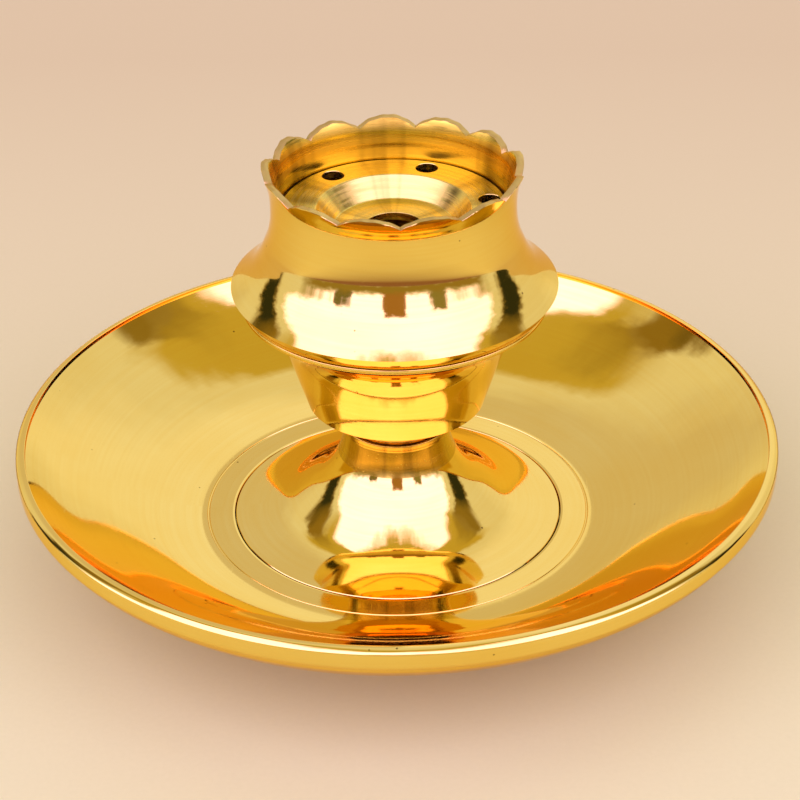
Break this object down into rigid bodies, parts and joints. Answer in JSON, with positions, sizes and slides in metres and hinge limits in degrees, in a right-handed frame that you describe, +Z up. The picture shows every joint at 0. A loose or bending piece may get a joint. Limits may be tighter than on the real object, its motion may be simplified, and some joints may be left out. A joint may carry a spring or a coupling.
{
  "type": "incense stand",
  "caption": "Turned brass pedestal diya for incense: a wide ash plate, flared stem and cup under a scalloped crown with a pierced disc.",
  "frame": {"origin": "middle of the face that the plate's foot ring stands on", "axes": "+Z up along the axis that every piece is turned on, -Y towards the camera of the picture"},
  "size_m": [0.15, 0.15, 0.0854],
  "materials": {
    "polished_brass": "mirror polished on the lathe, with faint turning lines",
    "turned_brass": "fine turned, slightly satin",
    "steel": "plain zinc-plated fastener"
  },
  "bodies": {
    "base": {"ash_plate": "polished_brass", "stem": "polished_brass", "foot_washer": "steel", "foot_screw": "steel", "bowl": "polished_brass", "bowl_washer": "steel", "bowl_nut": "steel"},
    "crown_lid": {"crown": "polished_brass"},
    "disc": {"incense_disc": "turned_brass"}
  },
  "joints": [
    {"name": "crown_lift", "type": "slide", "parent": "base", "child": "crown_lid", "axis": [0, 0, 1], "range_m": [0, 0.03]},
    {"name": "disc_lift", "type": "slide", "parent": "crown_lid", "child": "disc", "axis": [0, 0, 1], "range_m": [0, 0.025]}
  ]
}
